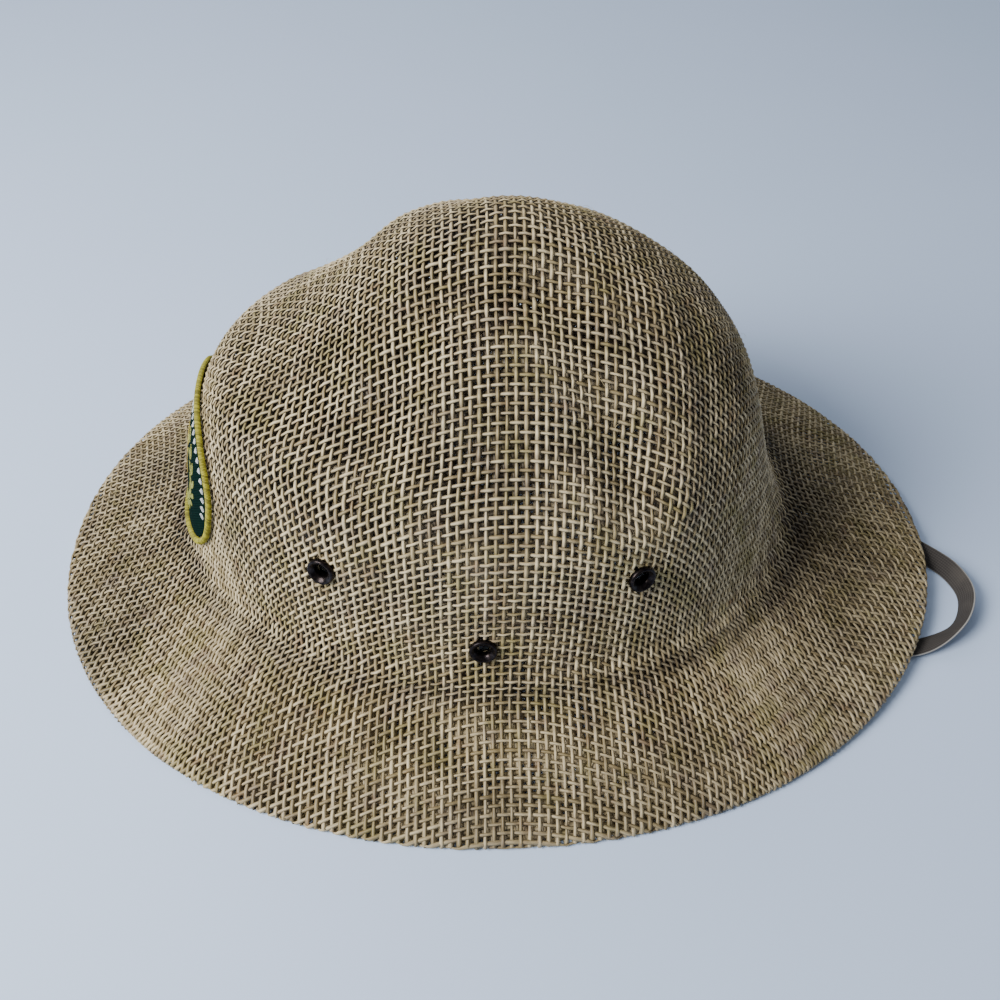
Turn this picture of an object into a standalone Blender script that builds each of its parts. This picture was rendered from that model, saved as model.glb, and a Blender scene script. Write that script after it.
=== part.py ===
"""A straw safari hat with a round crown and a wide brim, resting on the brim.

Metres, with +Z up. The wearer's front is towards -X, the back towards +X and the left towards -Y.
"""

import math
from typing import NamedTuple

import bmesh
import bpy
import numpy as np
from mathutils import Matrix, Vector

# Main sizes of the straw
BRIM_LENGTH = 0.338
BRIM_WIDTH = 0.277
HAT_HEIGHT = 0.1433
WALL = 0.0020
CORNER_POWER = 2.1  # 2 is an ellipse, more is squarer
BACK_LIFT = 0.0056  # how far the brim's back edge stands off the surface, where the strap runs under it
BACK_LIFT_TURN = -0.20  # radians from the back, towards the left, of the highest place
BACK_LIFT_SPREAD = 0.55  # radians to each side over which the lift fades
EDGE_TRIM = 0.0005  # straw taken off the underside of the edge, which gives it a flat ring to rest on

# How finely the straw is faceted
TURNS = 60
RINGS_PER_SECTION = 2

# Free space between pieces that touch
GAP = 0.0003

# Vent eyelets: two high ones and a low one between them, on each side
EYELET_HOLE_RADIUS = 0.0022
EYELET_METAL = 0.0006
EYELET_FLANGE_RADIUS = 0.0046
EYELET_DOME = 0.0010
EYELET_FACETS = 16
EYELET_MIDDLE_X = -0.0136
EYELET_SPACING = 0.0984
EYELET_HIGH = 0.0617
EYELET_LOW = 0.0400

# Embroidered patch on the front of the crown
PATCH_WIDTH = 0.075
PATCH_HEIGHT = 0.053
PATCH_MIDDLE_Y = -0.0052
PATCH_MIDDLE_Z = 0.0525
PATCH_POWER = 2.3  # as CORNER_POWER
PATCH_THICKNESS = 0.0010
PATCH_RINGS = 5
PATCH_FACETS = 36
BORDER_DIAMETER = 0.0022
BORDER_FACETS = 44

# Elastic chin strap
STRAP_WIDTH = 0.0080
STRAP_THICKNESS = 0.0010
STRAP_POINTS = 61
STRAP_END_X = 0.002
STRAP_END_Z = 0.0400


class Section(NamedTuple):
    """One ring round the straw's outside: its rise as a share of the height above the brim's edge, and its
    reach from the hat's middle as shares of half the brim's length (front, back) and width (side)."""

    rise: float
    front: float
    back: float
    side: float


SECTIONS = {
    "edge": Section(0.000, 1.000, 1.000, 1.000),
    "brim outer": Section(0.045, 0.914, 0.912, 0.924),
    "brim middle": Section(0.090, 0.824, 0.802, 0.826),
    "brim inner": Section(0.130, 0.748, 0.716, 0.722),
    "foot": Section(0.154, 0.716, 0.676, 0.694),
    "bead": Section(0.180, 0.697, 0.643, 0.684),
    "bead top": Section(0.208, 0.688, 0.622, 0.668),
    "band low": Section(0.268, 0.680, 0.596, 0.659),
    "band high": Section(0.395, 0.660, 0.558, 0.640),
    "belt": Section(0.515, 0.630, 0.526, 0.615),
    "shoulder": Section(0.604, 0.582, 0.496, 0.559),
    "panel low": Section(0.676, 0.478, 0.457, 0.490),
    "panel": Section(0.756, 0.378, 0.398, 0.418),
    "panel high": Section(0.847, 0.284, 0.294, 0.318),
    "cap edge": Section(0.915, 0.200, 0.194, 0.198),
    "cap": Section(0.970, 0.100, 0.094, 0.098),
    "top": Section(1.000, 0.000, 0.000, 0.000),
}


class Dent(NamedTuple):
    """A straight dent (depth below 0) or ridge (above 0) in the crown, on the left (-1) or the right (1).
    Its ends are given by x as a share of half the brim's length and by rise; width and depth are metres."""

    side: int
    low_x: float
    low_rise: float
    high_x: float
    high_rise: float
    half_width: float
    depth: float


DENTS = {
    "left front valley": Dent(-1, -0.31, 0.62, -0.13, 0.90, 0.014, -0.0016),
    "left back valley": Dent(-1, 0.20, 0.60, 0.06, 0.91, 0.015, -0.0026),
    "left back ridge": Dent(-1, 0.29, 0.57, 0.26, 0.85, 0.013, 0.0014),
    "right front valley": Dent(1, -0.38, 0.64, -0.27, 0.80, 0.015, -0.0012),
    "right front shoulder": Dent(1, -0.22, 0.84, -0.14, 0.89, 0.016, 0.0012),
    "right back valley": Dent(1, 0.20, 0.60, 0.10, 0.84, 0.015, -0.0020),
}


class StrapPoint(NamedTuple):
    """A point that the middle of the strap passes through, in metres, and how far its upper edge leans out of
    the loop from upright, in degrees. A height of 0 stands for lying on the surface."""

    x: float
    y: float
    z: float
    lean: float


# Between its two ends, which lie against the inside of the crown
STRAP_ROUTE = (
    StrapPoint(0.012, -0.0884, 0.0300, 0),
    StrapPoint(0.028, -0.0860, 0.0160, 8),
    StrapPoint(0.055, -0.0800, 0.0, 30),
    StrapPoint(0.095, -0.0730, 0.0, 48),
    StrapPoint(0.130, -0.0710, 0.0, 70),
    StrapPoint(0.150, -0.0695, 0.0, 75),
    StrapPoint(0.166, -0.0625, 0.0, 34),
    StrapPoint(0.1748, -0.0500, 0.0, 30),
    StrapPoint(0.1750, -0.0385, 0.0, 36),
    StrapPoint(0.169, -0.0270, 0.0, 54),
    StrapPoint(0.152, -0.0090, 0.0, 62),
    StrapPoint(0.120, 0.0210, 0.0, 50),
    StrapPoint(0.085, 0.0500, 0.0, 38),
    StrapPoint(0.050, 0.0730, 0.0, 24),
    StrapPoint(0.028, 0.0850, 0.0160, 6),
    StrapPoint(0.012, 0.0884, 0.0300, 0),
)


class Finish(NamedTuple):
    """A surface's colour (linear RGB), roughness and share of metal."""

    colour: tuple
    roughness: float
    metallic: float


FINISHES = {
    "straw": Finish((0.36, 0.27, 0.16), 0.75, 0.0),
    "eyelet_metal": Finish((0.035, 0.026, 0.024), 0.35, 0.8),
    "patch_cloth": Finish((0.012, 0.045, 0.030), 0.85, 0.0),
    "border_thread": Finish((0.30, 0.27, 0.06), 0.6, 0.0),
    "elastic": Finish((0.50, 0.49, 0.46), 0.8, 0.0),
}

HALF_LENGTH = BRIM_LENGTH / 2
HALF_WIDTH = BRIM_WIDTH / 2
LAST_SECTION = len(SECTIONS) - 1
PAST_THE_TOP = np.array(SECTIONS["cap"]) * (1, -1, -1, -1)  # mirrors the cap, so that the top closes round
SECTION_TABLE = np.vstack((list(SECTIONS.values()), PAST_THE_TOP))
BRIM_SLOPE = math.atan2(
    SECTIONS["brim outer"].rise * HAT_HEIGHT, (1 - SECTIONS["brim outer"].side) * HALF_WIDTH
)
EDGE_HEIGHT = WALL * math.cos(BRIM_SLOPE) - EDGE_TRIM
RISE = HAT_HEIGHT - EDGE_HEIGHT
HEART = np.array((-0.004, 0.0, 0.35 * HAT_HEIGHT))  # the point that the crown bulges and dents from


def smooth_through(rows, places):
    """Rows of numbers read at fractional row numbers, along a curve through all the rows."""
    rows = np.asarray(rows, float)
    padded = np.vstack((2 * rows[0] - rows[1], rows, 2 * rows[-1] - rows[-2]))
    step = np.clip(np.floor(places).astype(int), 0, len(rows) - 2)
    part = (places - step)[..., None]
    before, start, end, after = (padded[step + number] for number in range(4))
    slope_in = (end - before) / 2
    slope_out = (after - start) / 2
    bend = 3 * (end - start) - 2 * slope_in - slope_out
    twist = 2 * (start - end) + slope_in + slope_out
    return start + part * (slope_in + part * (bend + part * twist))


FINE_PLACES = np.linspace(0, LAST_SECTION, 40 * LAST_SECTION + 1)
FINE_RISES = smooth_through(SECTION_TABLE, FINE_PLACES)[:, 0]


def place_at(height):
    """The fractional row of SECTIONS at which the crown's wall is this high above the surface."""
    return np.interp((np.asarray(height) - EDGE_HEIGHT) / RISE, FINE_RISES, FINE_PLACES)


def pressed_form(places, turns):
    """Points on the outside of the straw without its dents: how far up the sections, and the turn from +X."""
    rise, front, back, side = np.moveaxis(smooth_through(SECTION_TABLE, places), -1, 0)
    along, across = np.cos(turns), np.sin(turns)
    reach = np.where(along > 0, back, front) * HALF_LENGTH
    x = reach * np.sign(along) * np.abs(along) ** (2 / CORNER_POWER)
    y = side * HALF_WIDTH * np.sign(across) * np.abs(across) ** (2 / CORNER_POWER)
    on_brim = np.clip(1 - rise / SECTIONS["foot"].rise, 0, 1)
    away = np.arctan2(np.sin(turns - BACK_LIFT_TURN), np.cos(turns - BACK_LIFT_TURN)) / BACK_LIFT_SPREAD
    z = EDGE_HEIGHT + rise * RISE + BACK_LIFT * on_brim * np.exp(-(away**2))
    return np.stack((x, y, z), -1)


def turn_at(places, x):
    """The turn from +X, on the left side, at which the wall reaches this x."""
    _, front, back, _ = np.moveaxis(smooth_through(SECTION_TABLE, places), -1, 0)
    share = np.clip(np.where(x > 0, x / back, x / front) / HALF_LENGTH, -1, 1)
    return -np.arccos(np.sign(share) * np.abs(share) ** (CORNER_POWER / 2))


def turn_across(places, y):
    """The turn from +X, at the front, at which the wall reaches this y."""
    side = smooth_through(SECTION_TABLE, places)[..., 3] * HALF_WIDTH
    share = np.clip(np.abs(y) / side, 0, 1) ** (CORNER_POWER / 2)
    return math.pi - np.arcsin(share) * np.sign(y)


def outside(places, turns):
    """Points on the outside of the straw, dents included."""
    points = pressed_form(places, turns)
    outward = points - HEART
    outward /= np.linalg.norm(outward, axis=-1, keepdims=True)
    pushed = points.copy()
    for dent in DENTS.values():
        ends = []
        for x, rise in ((dent.low_x, dent.low_rise), (dent.high_x, dent.high_rise)):
            place = place_at(EDGE_HEIGHT + rise * RISE)
            ends.append(pressed_form(place, turn_at(place, np.asarray(x * HALF_LENGTH))))
        low, high = (end * (1, -dent.side, 1) for end in ends)
        line = high - low
        share = np.clip((points - low) @ line / (line @ line), 0, 1)
        distance = np.linalg.norm(points - low - share[..., None] * line, axis=-1)
        weight = np.clip(1 - (distance / dent.half_width) ** 2, 0, 1) ** 2
        pushed += outward * (dent.depth * weight)[..., None]
    return pushed


def outside_normals(places, turns):
    """Unit vectors that point out of the straw at the same points as outside()."""
    step = 1e-3
    up = outside(places + step, turns) - outside(places - step, turns)
    round_ = outside(places, turns + step) - outside(places, turns - step)
    normals = np.cross(round_, up)
    return normals / np.linalg.norm(normals, axis=-1, keepdims=True)


def clear_scene():
    for thing in list(bpy.data.objects):
        bpy.data.objects.remove(thing, do_unlink=True)


def collection_named(name):
    made = bpy.data.collections.new(name)
    bpy.context.scene.collection.children.link(made)
    return made


def material_named(name):
    finish = FINISHES[name]
    material = bpy.data.materials.new(name)
    material.use_nodes = True
    shader = material.node_tree.nodes["Principled BSDF"]
    shader.inputs["Base Color"].default_value = (*finish.colour, 1)
    shader.inputs["Roughness"].default_value = finish.roughness
    shader.inputs["Metallic"].default_value = finish.metallic
    material.diffuse_color = (*finish.colour, 1)
    return material


def add_object(name, data, collection, material=None):
    made = bpy.data.objects.new(name, data)
    if material:
        data.materials.append(material)
    collection.objects.link(made)
    return made


def mesh_from(name, points, faces):
    mesh = bpy.data.meshes.new(name)
    mesh.from_pydata([tuple(map(float, point)) for point in points], [], faces)
    mesh.validate()
    return mesh


def cutter_from(name, mesh, collection, matrix):
    cutter = add_object(name, mesh, collection)
    cutter.matrix_world = matrix
    cutter.hide_render = True
    cutter.display_type = "WIRE"
    return cutter


def subtract(solid, cutter):
    cut = solid.modifiers.new(cutter.name, "BOOLEAN")
    cut.operation = "DIFFERENCE"
    cut.solver = "EXACT"
    cut.object = cutter


def primitive(name, make, **sizes):
    """A mesh from one of bmesh's primitives."""
    shape = bmesh.new()
    make(shape, **sizes)
    mesh = bpy.data.meshes.new(name)
    shape.to_mesh(mesh)
    shape.free()
    return mesh


def make_shell(collection, material):
    """Crown and brim: one pressed piece of straw of even thickness."""
    rings = LAST_SECTION * RINGS_PER_SECTION
    places = np.arange(rings)[:, None] / RINGS_PER_SECTION + np.zeros(TURNS)
    turns = np.arange(TURNS) * math.tau / TURNS + np.zeros((rings, 1))
    top = outside(np.array([float(LAST_SECTION)]), np.array([0.0]))
    points = np.vstack((outside(places, turns).reshape(-1, 3), top))
    faces = []
    for ring in range(rings):
        for turn in range(TURNS):
            following = (turn + 1) % TURNS
            here, beside = ring * TURNS + turn, ring * TURNS + following
            if ring == rings - 1:
                faces.append((here, beside, rings * TURNS))
            else:
                faces.append((here, beside, beside + TURNS, here + TURNS))
    shell = add_object("hat_shell", mesh_from("hat_shell", points, faces), collection, material)
    wall = shell.modifiers.new("straw thickness", "SOLIDIFY")
    wall.thickness = WALL
    wall.offset = -1
    wall.use_even_offset = True
    return shell


def trim_edge(shell, cutters):
    """Cuts the underside of the brim's edge flat at the height of the surface."""
    depth = 0.01
    mesh = primitive("floor_cutter", bmesh.ops.create_cube, size=1)
    matrix = Matrix.LocRotScale((0, 0, -depth / 2), None, (2 * BRIM_LENGTH, 2 * BRIM_WIDTH, depth))
    subtract(shell, cutter_from("floor_cutter", mesh, cutters, matrix))


def eyelet_places():
    """Each eyelet's name and its frame: on the outside of the straw, with Z pointing out of it."""
    half = EYELET_SPACING / 2
    spots = {
        "front": (EYELET_MIDDLE_X - half, EYELET_HIGH),
        "back": (EYELET_MIDDLE_X + half, EYELET_HIGH),
        "low": (EYELET_MIDDLE_X, EYELET_LOW),
    }
    frames = {}
    for side, mirror in (("left", 1), ("right", -1)):
        for spot, (x, z) in spots.items():
            place = place_at(z)
            turn = turn_at(place, np.asarray(x)) * mirror
            normal = Vector(outside_normals(place, turn))
            matrix = normal.to_track_quat("Z", "Y").to_matrix().to_4x4()
            matrix.translation = Vector(outside(place, turn))
            frames[f"eyelet_{side}_{spot}"] = matrix
    return frames


def wall_under(frame, radius):
    """The highest and lowest that the straw's outside gets along an eyelet's axis within this radius of it."""
    centre = np.array(frame.translation)
    axis = np.array(frame.col[2])[:3]
    place = place_at(centre[2])
    places = place + np.linspace(-1, 1, 41)[:, None] + np.zeros(41)
    middle_turn = math.atan2(centre[1], centre[0])
    turns = middle_turn + np.linspace(-0.15, 0.15, 41) + np.zeros((41, 1))
    offsets = (outside(places, turns) - centre).reshape(-1, 3)
    heights = offsets @ axis
    near = np.linalg.norm(offsets - heights[:, None] * axis, axis=1) < radius
    return max(heights[near].max(), 0.0), min(heights[near].min(), 0.0)


def make_eyelet(name, frame, shell, collection, cutters, material):
    """A rolled metal eyelet through the straw: domed flange outside, barrel, flat flange inside."""
    barrel = EYELET_HOLE_RADIUS + EYELET_METAL
    highest, lowest = wall_under(frame, EYELET_FLANGE_RADIUS)
    seat = highest + GAP
    back_seat = lowest - WALL - GAP
    dome_radius = (EYELET_HOLE_RADIUS + EYELET_FLANGE_RADIUS) / 2
    profile = (
        (EYELET_HOLE_RADIUS, seat + 0.4 * EYELET_DOME),
        (dome_radius, seat + EYELET_DOME),
        (EYELET_FLANGE_RADIUS, seat + 0.4 * EYELET_DOME),
        (EYELET_FLANGE_RADIUS, seat),
        (barrel, seat),
        (barrel, back_seat),
        (EYELET_FLANGE_RADIUS, back_seat),
        (EYELET_FLANGE_RADIUS, back_seat - EYELET_METAL),
        (EYELET_HOLE_RADIUS, back_seat - EYELET_METAL),
    )
    count = len(profile)
    mesh = bpy.data.meshes.new(name)
    ring = [(number, (number + 1) % count) for number in range(count)]
    mesh.from_pydata([(radius, 0, height) for radius, height in profile], ring, [])
    eyelet = add_object(name, mesh, collection, material)
    eyelet.matrix_world = frame
    spin = eyelet.modifiers.new("spin", "SCREW")
    spin.angle = math.tau
    spin.steps = spin.render_steps = EYELET_FACETS
    spin.use_merge_vertices = True
    spin.merge_threshold = 1e-5
    spin.use_normal_calculate = True
    drill = primitive(
        name + "_hole", bmesh.ops.create_cone, segments=EYELET_FACETS, cap_ends=True,
        radius1=barrel + GAP, radius2=barrel + GAP, depth=8 * WALL,
    )
    subtract(shell, cutter_from(name + "_hole", drill, cutters, frame))
    return eyelet


def patch_point(share, angle, half_width, half_height, lift):
    """A point over the front of the crown: a share of the way from the patch's middle to its outline."""
    across, up = np.cos(angle), np.sin(angle)
    y = PATCH_MIDDLE_Y + share * half_width * np.sign(across) * np.abs(across) ** (2 / PATCH_POWER)
    z = PATCH_MIDDLE_Z + share * half_height * np.sign(up) * np.abs(up) ** (2 / PATCH_POWER)
    place = place_at(z)
    turn = turn_across(place, y)
    return outside(place, turn) + outside_normals(place, turn) * lift


def make_patch(collection, cloth, thread):
    """The patch's cloth, and the round stitched border that lies against its edge."""
    inset = BORDER_DIAMETER + GAP
    half_width, half_height = PATCH_WIDTH / 2, PATCH_HEIGHT / 2
    angles = np.arange(PATCH_FACETS) * math.tau / PATCH_FACETS
    shares = np.arange(1, PATCH_RINGS + 1)[:, None] / PATCH_RINGS
    size = half_width - inset, half_height - inset, 2 * GAP
    middle = patch_point(np.zeros(1), np.zeros(1), *size)
    points = np.vstack((middle, patch_point(shares, angles, *size).reshape(-1, 3)))
    faces = []
    for number in range(PATCH_FACETS):
        following = (number + 1) % PATCH_FACETS
        faces.append((0, 1 + following, 1 + number))
        for ring in range(PATCH_RINGS - 1):
            inner, outer = 1 + ring * PATCH_FACETS, 1 + (ring + 1) * PATCH_FACETS
            faces.append((inner + number, inner + following, outer + following, outer + number))
    field = add_object("patch_field", mesh_from("patch_field", points, faces), collection, cloth)
    sheet = field.modifiers.new("cloth thickness", "SOLIDIFY")
    sheet.thickness = PATCH_THICKNESS
    sheet.offset = 1

    radius = BORDER_DIAMETER / 2
    path = np.arange(BORDER_FACETS) * math.tau / BORDER_FACETS
    line = patch_point(np.ones(1), path, half_width - radius, half_height - radius, radius + GAP)
    border = curve_through("patch_border", line, collection, thread, closed=True)
    border.data.bevel_depth = radius
    border.data.bevel_resolution = 1


def curve_through(name, points, collection, material, closed=False):
    """A curve of straight steps through these points."""
    curve = bpy.data.curves.new(name, "CURVE")
    curve.dimensions = "3D"
    curve.use_fill_caps = not closed
    spline = curve.splines.new("POLY")
    spline.points.add(len(points) - 1)
    for spot, point in zip(spline.points, points):
        spot.co = (*map(float, point), 1)
    spline.use_cyclic_u = closed
    return add_object(name, curve, collection, material)


def strap_end(side):
    """The end of the strap on the left (-1) or the right (1), flat against the inside of the crown."""
    place = place_at(STRAP_END_Z)
    turn = -side * turn_at(place, np.asarray(STRAP_END_X))
    normal = outside_normals(place, turn)
    point = outside(place, turn) - normal * (WALL + GAP + STRAP_THICKNESS / 2)
    return StrapPoint(*point, -math.degrees(math.asin(normal[2])))


def strap_line():
    """Points along the whole strap, and its lean at each, evenly spaced from its left end to its right."""
    route = (strap_end(-1), *STRAP_ROUTE, strap_end(1))
    fine = smooth_through(route, np.linspace(0, len(route) - 1, 2000))
    lying = (STRAP_WIDTH - STRAP_THICKNESS) / 2 * np.cos(np.radians(fine[:, 3])) + STRAP_THICKNESS / 2
    fine[:, 2] = np.maximum(fine[:, 2], lying)
    length = np.append(0, np.cumsum(np.linalg.norm(np.diff(fine[:, :3], axis=0), axis=1)))
    even = np.linspace(0, length[-1], STRAP_POINTS)
    return np.stack([np.interp(even, length, column) for column in fine.T], -1)


def make_strap(collection, material):
    """The flat elastic that runs from inside the left of the crown, out under the back, to the right."""
    line = strap_line()
    strap = curve_through("chin_strap", line[:, :3], collection, material)
    strap.data.twist_mode = "Z_UP"
    strap.data.extrude = (STRAP_WIDTH - STRAP_THICKNESS) / 2
    strap.data.bevel_depth = STRAP_THICKNESS / 2
    strap.data.bevel_resolution = 0
    for spot, lean in zip(strap.data.splines[0].points, line[:, 3]):
        spot.tilt = math.radians(lean)


def main():
    clear_scene()
    hat = collection_named("safari_hat")
    cutters = collection_named("cutters")
    finish = {name: material_named(name) for name in FINISHES}
    shell = make_shell(hat, finish["straw"])
    trim_edge(shell, cutters)
    for name, frame in eyelet_places().items():
        make_eyelet(name, frame, shell, hat, cutters, finish["eyelet_metal"])
    make_patch(hat, finish["patch_cloth"], finish["border_thread"])
    make_strap(hat, finish["elastic"])


main()
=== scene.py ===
"""How the safari hat looks: open straw cloth in two plies, vent eyelets, a patch and an elastic strap.

Metres, in the frame of the CAD: +Z up, the wearer's front towards -X, the back +X and the left -Y.
"""

import math
from typing import NamedTuple

import bpy
import numpy as np
from mathutils import Matrix, Vector


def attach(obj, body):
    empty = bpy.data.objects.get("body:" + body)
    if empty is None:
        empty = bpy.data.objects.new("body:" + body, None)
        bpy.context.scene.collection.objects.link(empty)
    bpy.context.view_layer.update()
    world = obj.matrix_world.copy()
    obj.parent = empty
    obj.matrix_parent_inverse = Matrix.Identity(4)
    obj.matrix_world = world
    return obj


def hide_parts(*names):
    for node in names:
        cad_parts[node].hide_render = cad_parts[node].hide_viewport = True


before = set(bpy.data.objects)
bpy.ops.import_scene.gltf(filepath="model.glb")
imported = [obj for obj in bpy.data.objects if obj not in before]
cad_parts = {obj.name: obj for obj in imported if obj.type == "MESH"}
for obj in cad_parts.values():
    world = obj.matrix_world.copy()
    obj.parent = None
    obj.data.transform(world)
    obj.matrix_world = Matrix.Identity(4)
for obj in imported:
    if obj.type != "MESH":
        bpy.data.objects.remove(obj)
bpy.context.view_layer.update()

# Camera, found from the photo's outline and eyelets; the image is 1000 by 1000
CAMERA_PLACE = (-0.029817, -0.278635, 0.295803)
CAMERA_YAW = math.radians(5.95)
CAMERA_PITCH = math.radians(45.0)
CAMERA_ROLL = math.radians(2.23)
LENS = 36.0
SENSOR = 36.0

# Main sizes of the straw, as in the CAD
BRIM_LENGTH = 0.338
BRIM_WIDTH = 0.277
HAT_HEIGHT = 0.1433
WALL = 0.0020
CORNER_POWER = 2.1
BACK_LIFT = 0.0056
BACK_LIFT_TURN = -0.20
BACK_LIFT_SPREAD = 0.55
EDGE_TRIM = 0.0005
GAP = 0.0003

# The cloth: threads cross every CLOTH_PITCH along both sets, and the two plies lie askew
CLOTH_PITCH = 0.00280
OUTER_GRAIN = math.radians(-2.0)
INNER_PITCH = 0.00272
INNER_GRAIN = math.radians(2.6)
OUTER_DEPTH = 0.00035
INNER_DEPTH = 0.00175
HEM_DEPTH = 0.0021
HEM_WIDTH = 0.012
KNOT_ROUNDS = 9  # how often a knot is moved towards its place, each time by KNOT_STRIDE pitches at most
KNOT_STRIDE = 0.4
SETTLING_ROUNDS = 70  # how often the cloth's knots are moved halfway to the middle of their neighbours
EDGE_INSET = 0.0016  # from the CAD's edge to where the outer ply starts to turn under
INNER_INSET = 0.001  # from there to the inner ply's edge
THREAD_LIFT = 0.00036  # how far a thread rises and sinks as it passes over and under
THREAD_CLEAR = 0.0007  # the lowest that a thread's middle may lie above the surface
CUT_RADIUS = 0.0025  # no thread comes nearer than this to an eyelet's axis
CUT_DEPTH = 0.01  # this far along the axis to each side of the straw
PRESS_RADIUS = 0.0070  # nearer than this the eyelet's flange presses the threads in
PRESS_DEPTH = 0.00015
PRESS_FLAT = 0.5  # the share of its lift that a pressed thread loses
# Near an eyelet the hollows lose this share of their painted shade
PRESS_DARK = 0.8  # and of how dark the hollows are
FOLD_SPREAD = 0.003  # how far to each side of the fold the threads lie flatter
FOLD_FLAT = 0.6
FOLD_PLUMP = 0.3  # and how much plumper they are there
PLUMP_LIMITS = (0.6, 1.6)
PLUMP_SPREAD = 0.06  # how much whole threads differ
# How dark the painted shade in the hollows between threads is, at a few sections
HOLLOWS = {"brim middle": 0.10, "bead": 0.90, "belt": 0.95, "panel low": 1.15}  # how dark at a section
FIBRE_COUNT = 90
FIBRE_LENGTHS = (0.002, 0.006)
FIBRE_SIZE = (0.00016, 0.00012)  # width and thickness
FIBRE_BEND = 1.5  # radians at most, along the whole fibre
FIBRE_RISES = (0.1, 0.5)  # shares of the length
FIBRE_TAPER = 0.7
FIBRE_SEED = 77

# Vent eyelets
EYELET_HOLE_RADIUS = 0.0022
EYELET_METAL = 0.0006
EYELET_FLANGE_RADIUS = 0.0046
EYELET_DOME = 0.0010
EYELET_LIP = 0.0002  # how far the flange's rim sinks into the straw, and how far its washer's corner is cut
EYELET_FACETS = 48
# From the hole to the rim, shares of the way and of EYELET_DOME: a funnel, then a rolled rim
EYELET_ROLL = (
    (0.00, -0.60), (0.08, -0.25), (0.16, 0.02), (0.26, 0.26), (0.38, 0.52), (0.50, 0.76), (0.62, 0.94),
    (0.72, 1.00), (0.82, 0.95), (0.90, 0.80), (0.96, 0.56), (0.99, 0.32), (1.00, 0.08),
)
EYELET_MIDDLE_X = -0.0136
EYELET_SPACING = 0.0984
EYELET_HIGH = 0.0617
EYELET_LOW = 0.0400

# Embroidered patch
PATCH_WIDTH = 0.075
PATCH_HEIGHT = 0.053
PATCH_MIDDLE_Y = -0.0052
PATCH_MIDDLE_Z = 0.0525
PATCH_POWER = 2.3
PATCH_THICKNESS = 0.0010
PATCH_RIM_DROP = 0.3  # the share of its thickness that the cloth loses at its rim
PATCH_RIM_WIDTH = 1 / 12  # the share of the way in over which it does
PATCH_SPOKES = 160
PATCH_RINGS = 34
BORDER_DIAMETER = 0.0022
BORDER_STITCHES = 400
BORDER_SLANT = 0.0009  # how far each end of a stitch lies from its middle, along the border
BORDER_TUCK = 0.5  # radians that each end of a stitch goes on under the border
BORDER_CORE = 0.86  # the core's radius and that of the stitches' middles, as shares of the border's
BORDER_WINDING = 0.92
BORDER_SEED = 31
BORDER_THREAD = (0.00054, 0.00036)  # width and thickness
BORDER_CORE_FACETS = 10
STITCH_THREAD = (0.00046, 0.00026)
STITCH_PITCH = 0.00042
STITCH_HEIGHT = 0.0003
STITCH_SINK = 0.2  # the share of its height by which a stitch's ends lie below the cloth's top
STITCH_SEED = 41
STAR_POINTS = 8
STAR_LONG = 0.0125
STAR_SHORT = 0.0075
STAR_WIDTH = 0.0046
STAR_FLARE = 5  # how steeply a point of the star widens before it narrows to its tip
STAR_WIDEST = 0.83  # the share of the way to the tip that is left where it is widest
SPRIG_WIDTH = 0.0205
SPRIG_HEIGHT = 0.0155
SPRIG_TURN = 62  # degrees that a sprig reaches up and down round the star
LEAF_PAIRS = 8
LEAF_LENGTH = 0.0054
LEAF_WIDTH = 0.0019
LEAF_STITCHES = 13
LEAF_LEAN = 0.55  # radians between a leaf and its sprig
LEAF_SHIFT = 0.0016  # from the sprig to a leaf's middle
LEAF_SHIFT_TURN = 2.6 * LEAF_LEAN
LOZENGE_LENGTH = 0.0027
LOZENGE_WIDTH = 0.0021
LOZENGE_STITCHES = 7
LOZENGE_INSET = 0.0052
LOZENGE_SPACING = 0.0034
LOZENGE_LOWEST = -0.004

# Elastic chin strap
STRAP_WIDTH = 0.0080
STRAP_THICKNESS = 0.0010
STRAP_END_X = 0.002
STRAP_END_Z = 0.0400
STRAP_RINGS = 201
STRAP_RIBS = 9
STRAP_RIB_DEPTH = 0.14  # shares of half its thickness
STRAP_SQUARENESS = 14  # the higher, the squarer its edges
PICK_SPACING = 0.0009  # from one cross thread of the elastic to the next

# Floor, a hair under the hat
FLOOR_REACH = 2.5
FLOOR_HEIGHT = -0.0002


class Section(NamedTuple):
    """One ring round the straw's outside: its rise as a share of the height above the brim's edge, and its
    reach from the hat's middle as shares of half the brim's length (front, back) and width (side)."""

    rise: float
    front: float
    back: float
    side: float


SECTIONS = {
    "edge": Section(0.000, 1.000, 1.000, 1.000),
    "brim outer": Section(0.045, 0.914, 0.912, 0.924),
    "brim middle": Section(0.090, 0.824, 0.802, 0.826),
    "brim inner": Section(0.130, 0.748, 0.716, 0.722),
    "foot": Section(0.154, 0.716, 0.676, 0.694),
    "bead": Section(0.180, 0.697, 0.643, 0.684),
    "bead top": Section(0.208, 0.688, 0.622, 0.668),
    "band low": Section(0.268, 0.680, 0.596, 0.659),
    "band high": Section(0.395, 0.660, 0.558, 0.640),
    "belt": Section(0.515, 0.630, 0.526, 0.615),
    "shoulder": Section(0.604, 0.582, 0.496, 0.559),
    "panel low": Section(0.676, 0.478, 0.457, 0.490),
    "panel": Section(0.756, 0.378, 0.398, 0.418),
    "panel high": Section(0.847, 0.284, 0.294, 0.318),
    "cap edge": Section(0.915, 0.200, 0.194, 0.198),
    "cap": Section(0.970, 0.100, 0.094, 0.098),
    "top": Section(1.000, 0.000, 0.000, 0.000),
}


class Dent(NamedTuple):
    """A straight dent (depth below 0) or ridge (above 0) in the crown, on the left (-1) or the right (1).
    Its ends are given by x as a share of half the brim's length and by rise; width and depth are metres."""

    side: int
    low_x: float
    low_rise: float
    high_x: float
    high_rise: float
    half_width: float
    depth: float


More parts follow.
